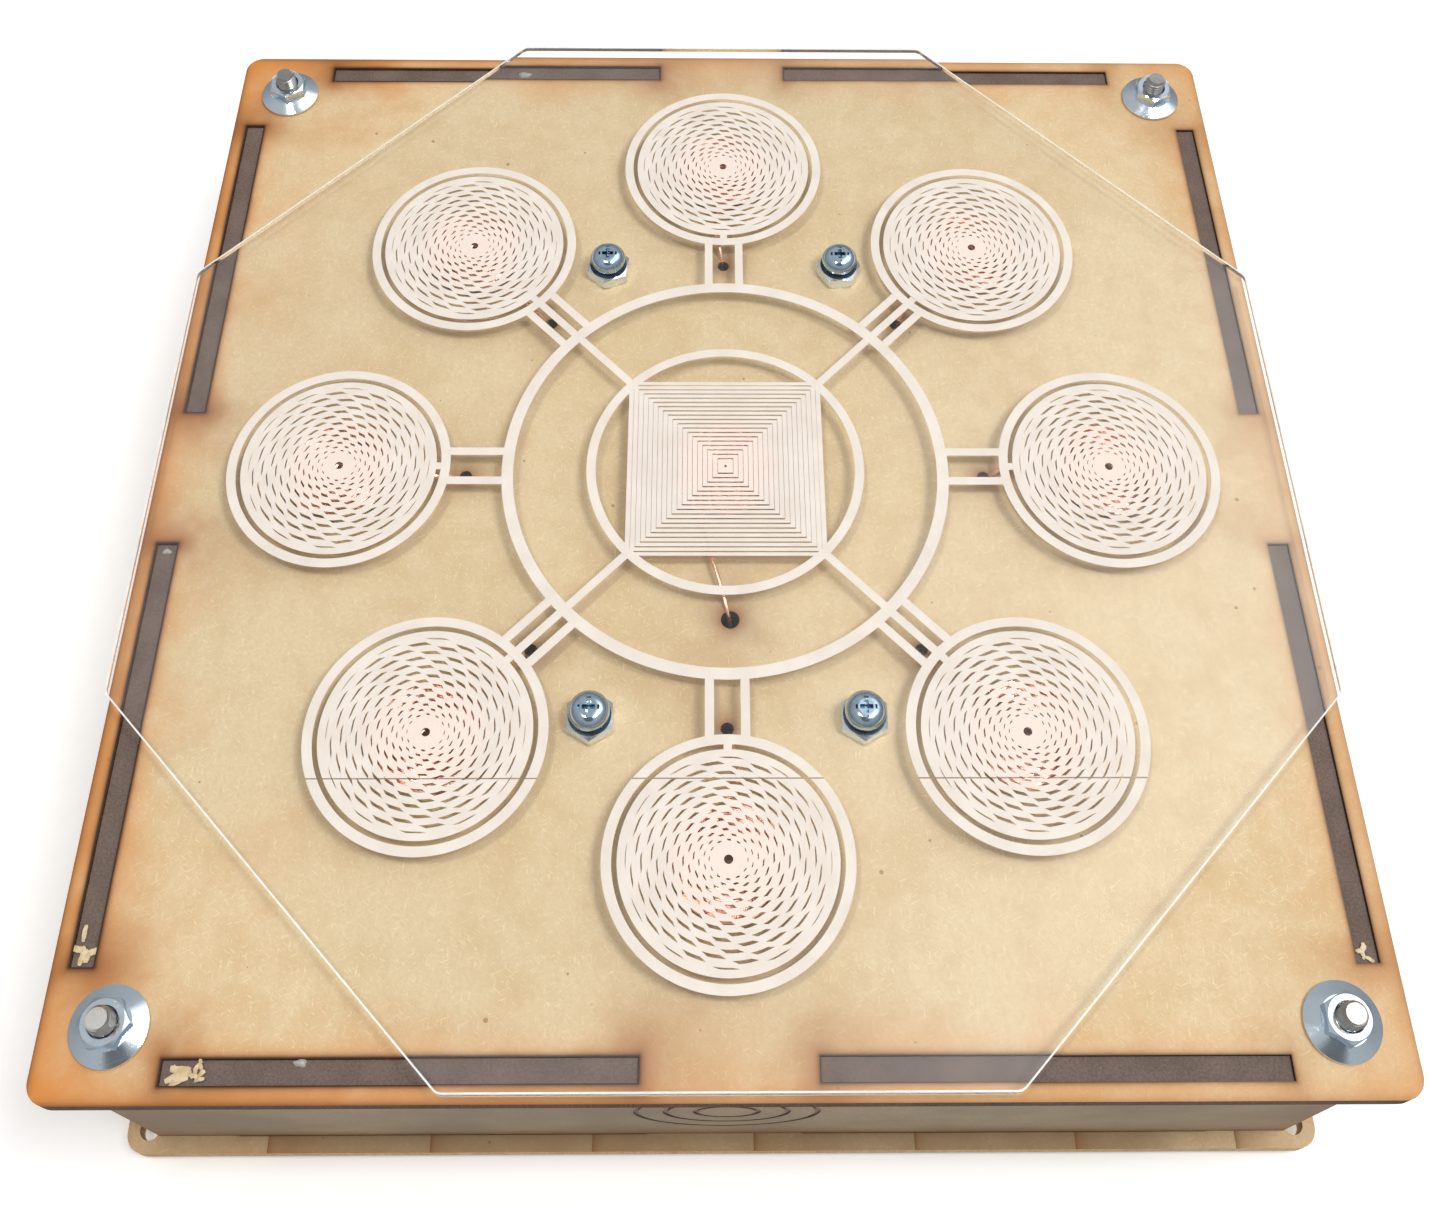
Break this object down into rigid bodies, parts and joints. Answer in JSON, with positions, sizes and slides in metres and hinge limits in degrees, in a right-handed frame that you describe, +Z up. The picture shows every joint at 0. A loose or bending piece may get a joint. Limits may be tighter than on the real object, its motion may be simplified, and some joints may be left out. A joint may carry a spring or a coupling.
{
  "type": "touch-pad case",
  "caption": "Square laser-cut MDF case with a clear octagonal touch plate, engraved with round pads, over flat copper coils.",
  "frame": {"origin": "middle of the underside, in the plane that the corner bolt heads stand on", "axes": "+X to the right, +Y to the back, +Z up through the touch plate"},
  "size_m": [0.3, 0.3, 0.0946],
  "materials": {
    "mdf": "bare MDF with laser-browned edges",
    "acrylic": "clear, engraved white",
    "zinc": "bright zinc plating",
    "copper": "bare copper wire",
    "circuit_board": "green solder mask",
    "black_plastic": "moulded chip package",
    "green_plastic": "moulded terminal housing",
    "socket_metal": "folded steel shell",
    "brass": "turned brass"
  },
  "bodies": {
    "case": {"base_plate": "mdf", "top_panel": "mdf", "front_wall": "mdf", "back_wall": "mdf", "left_wall": "mdf", "right_wall": "mdf", "touch_plate": "acrylic", "plate_screws": "zinc", "spacer_nuts": "zinc", "plate_lock_nuts": "zinc", "corner_bolts": "zinc", "controller_board": "circuit_board", "touch_chip": "black_plastic", "controller_chip": "black_plastic", "usb_socket": "socket_metal", "front_terminals": "green_plastic", "rear_terminals": "green_plastic", "board_standoffs": "brass", "board_screws": "zinc", "standoff_screws": "zinc", "coil_right": "copper", "coil_back_right": "copper", "coil_back": "copper", "coil_back_left": "copper", "coil_left": "copper", "coil_front_left": "copper", "coil_front": "copper", "coil_front_right": "copper", "coil_centre": "copper"},
    "flange_nut_front_left_body": {"flange_nut_front_left": "zinc"},
    "flange_nut_front_right_body": {"flange_nut_front_right": "zinc"},
    "flange_nut_back_left_body": {"flange_nut_back_left": "zinc"},
    "flange_nut_back_right_body": {"flange_nut_back_right": "zinc"}
  },
  "joints": [
    {"name": "nut_turn_front_left", "type": "hinge", "parent": "case", "child": "flange_nut_front_left_body", "pos_m": [-0.1345, -0.1345, 0.087], "axis": [0, 0, 1], "continuous": true},
    {"name": "nut_turn_front_right", "type": "hinge", "parent": "case", "child": "flange_nut_front_right_body", "pos_m": [0.1345, -0.1345, 0.087], "axis": [0, 0, 1], "continuous": true},
    {"name": "nut_turn_back_left", "type": "hinge", "parent": "case", "child": "flange_nut_back_left_body", "pos_m": [-0.1345, 0.1345, 0.087], "axis": [0, 0, 1], "continuous": true},
    {"name": "nut_turn_back_right", "type": "hinge", "parent": "case", "child": "flange_nut_back_right_body", "pos_m": [0.1345, 0.1345, 0.087], "axis": [0, 0, 1], "continuous": true}
  ]
}
